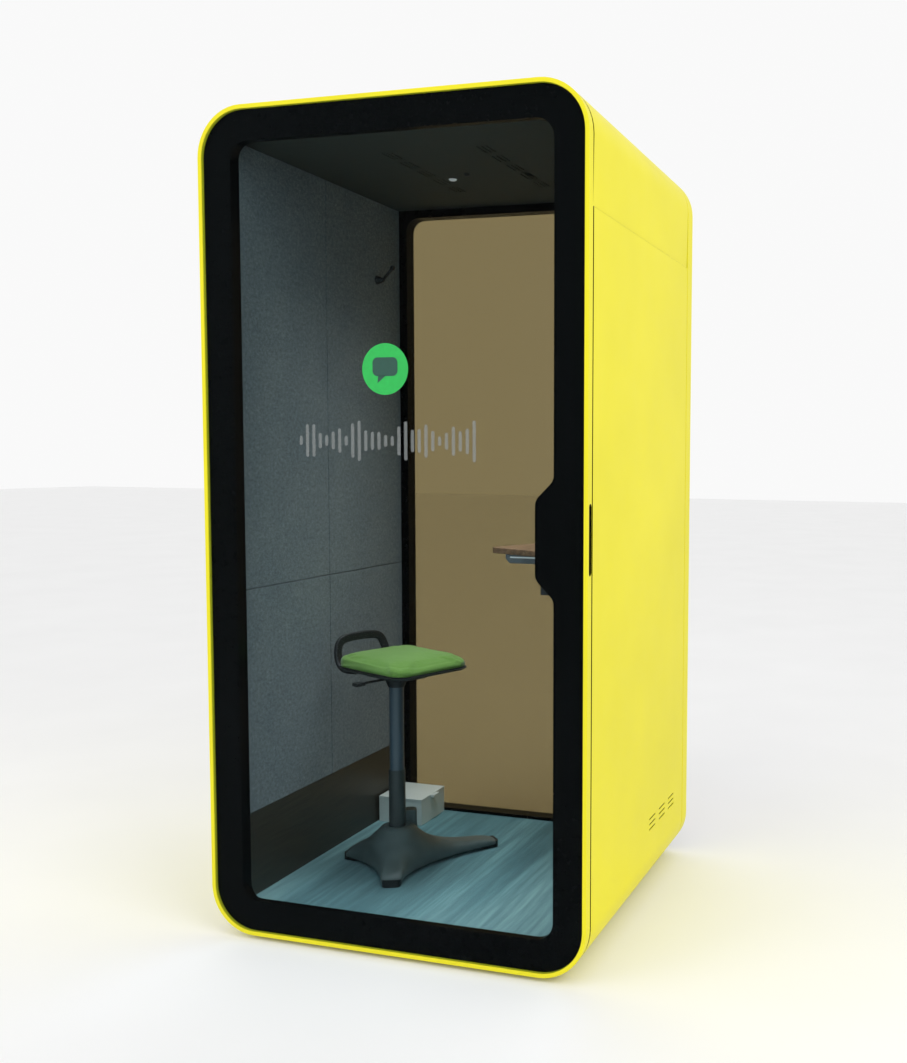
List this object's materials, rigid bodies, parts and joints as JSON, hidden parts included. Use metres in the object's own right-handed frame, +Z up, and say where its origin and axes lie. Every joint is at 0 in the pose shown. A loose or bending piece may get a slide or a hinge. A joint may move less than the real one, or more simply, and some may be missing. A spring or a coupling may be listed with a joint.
{
  "type": "telephone booth",
  "caption": "Rounded yellow phone booth with a full-height glass door, felt-lined cabin, ventilated ceiling, corner desk and height-adjustable stool.",
  "frame": {"origin": "on the ground under the middle of the booth", "axes": "+Z up, +Y from the door to the rear wall, +X to the right seen from the door"},
  "size_m": [1.11, 1, 2.262],
  "materials": {
    "yellow_paint": "satin lemon-yellow powder coat",
    "clear_glass": "clear laminated glass, polished",
    "black_frame": "gloss black",
    "seal_rubber": "matt black",
    "core_board": "rough insulated board",
    "black_plastic": "fine moulded texture",
    "wall_felt": "pressed grey-blue felt",
    "dark_board": "dark brown laminate",
    "teal_carpet": "streaked low loop carpet",
    "ceiling_paint": "matt grey-green",
    "lamp_white": "white diffuser",
    "steel": "brushed",
    "grey_plastic": "grey moulded, satin",
    "desk_wood": "brown laminate",
    "dark_steel": "black powder coat",
    "piston_metal": "blue-grey satin",
    "green_fabric": "green woven upholstery",
    "white_paint": "white satin"
  },
  "bodies": {
    "root": {"roof_shell": "yellow_paint", "left_side_shell": "yellow_paint", "right_side_shell": "yellow_paint", "bottom_tray": "yellow_paint", "rear_ring": "yellow_paint", "rear_glass": "clear_glass", "front_frame": "black_frame", "rear_frame": "black_frame", "door_seal": "seal_rubber", "left_wall_core": "core_board", "right_wall_core": "core_board", "roof_core": "core_board", "base_frame": "black_plastic", "power_inlet": "black_plastic", "motion_sensor": "black_plastic", "coat_hook": "black_plastic", "fan_housing_left": "black_plastic", "fan_housing_right": "black_plastic", "stool_column": "black_plastic", "foot_1": "black_plastic", "foot_2": "black_plastic", "foot_3": "black_plastic", "foot_4": "black_plastic", "felt_left_front": "wall_felt", "felt_left_rear": "wall_felt", "felt_right_front": "wall_felt", "felt_right_rear": "wall_felt", "kickboard_left": "dark_board", "kickboard_right": "dark_board", "floor_carpet": "teal_carpet", "ceiling_panel": "ceiling_paint", "ceiling_light": "lamp_white", "module_light": "lamp_white", "hinge_top_frame_half": "steel", "hinge_bottom_frame_half": "steel", "power_module": "grey_plastic", "stool_base": "grey_plastic", "desk_top": "desk_wood", "desk_bracket": "dark_steel", "floor_box": "white_paint"},
    "door": {"door_rim": "yellow_paint", "door_glass": "clear_glass", "door_frame": "black_frame", "pull_cup": "black_plastic", "lock_case": "black_plastic", "inner_pull": "steel", "hinge_top_door_half": "steel", "hinge_bottom_door_half": "steel"},
    "thumb_turn": {"thumb_turn": "steel"},
    "lock_bolt": {"lock_bolt": "steel"},
    "lock_indicator": {"lock_indicator": "grey_plastic"},
    "fan_left": {"fan_rotor_left": "black_plastic"},
    "fan_right": {"fan_rotor_right": "black_plastic"},
    "stool_lift": {"stool_piston": "piston_metal"},
    "stool_seat": {"stool_mechanism": "black_plastic", "stool_shell": "black_plastic", "stool_pad": "green_fabric", "stool_handle": "black_plastic"},
    "stool_lever": {"stool_lever": "black_plastic"},
    "box_lid": {"floor_box_lid": "white_paint"}
  },
  "joints": [
    {"name": "door_hinge", "type": "hinge", "parent": "root", "child": "door", "pos_m": [-0.551, -0.47, 1.13], "axis": [0, 0, -1], "range_deg": [0, 105]},
    {"name": "thumb_turn_spin", "type": "hinge", "parent": "door", "child": "thumb_turn", "pos_m": [0.44, -0.448, 1.031], "axis": [0, 1, 0], "range_deg": [0, 90]},
    {"name": "lock_bolt_slide", "type": "slide", "parent": "door", "child": "lock_bolt", "axis": [1, 0, 0], "range_m": [0, 0.014]},
    {"name": "lock_indicator_spin", "type": "hinge", "parent": "door", "child": "lock_indicator", "pos_m": [0.525, -0.4805, 1.064], "axis": [1, 0, 0], "range_deg": [0, 90]},
    {"name": "fan_left_spin", "type": "hinge", "parent": "root", "child": "fan_left", "pos_m": [-0.145, 0.01, 2.21], "axis": [0, 0, 1], "continuous": true},
    {"name": "fan_right_spin", "type": "hinge", "parent": "root", "child": "fan_right", "pos_m": [0.145, 0.01, 2.21], "axis": [0, 0, 1], "continuous": true},
    {"name": "stool_height", "type": "slide", "parent": "root", "child": "stool_lift", "axis": [0, 0, 1], "range_m": [-0.12, 0.1]},
    {"name": "stool_swivel", "type": "hinge", "parent": "stool_lift", "child": "stool_seat", "pos_m": [-0.225, -0.06, 0.66], "axis": [0, 0, 1], "continuous": true},
    {"name": "stool_lever_pull", "type": "hinge", "parent": "stool_seat", "child": "stool_lever", "pos_m": [-0.21618, -0.11825, 0.672], "axis": [-0.9272, 0.3746, 0], "range_deg": [0, 8], "stiffness_Nm_per_rad": 4, "springref_deg": -2.86},
    {"name": "box_lid_hinge", "type": "hinge", "parent": "root", "child": "box_lid", "pos_m": [-0.479, 0.347, 0.1643], "axis": [0, -1, 0], "range_deg": [0, 85]}
  ],
  "couplings": [
    {"joint": "lock_bolt_slide", "follows": "thumb_turn_spin", "m_per_rad": 0.008912},
    {"joint": "lock_indicator_spin", "follows": "thumb_turn_spin", "ratio": 1}
  ]
}
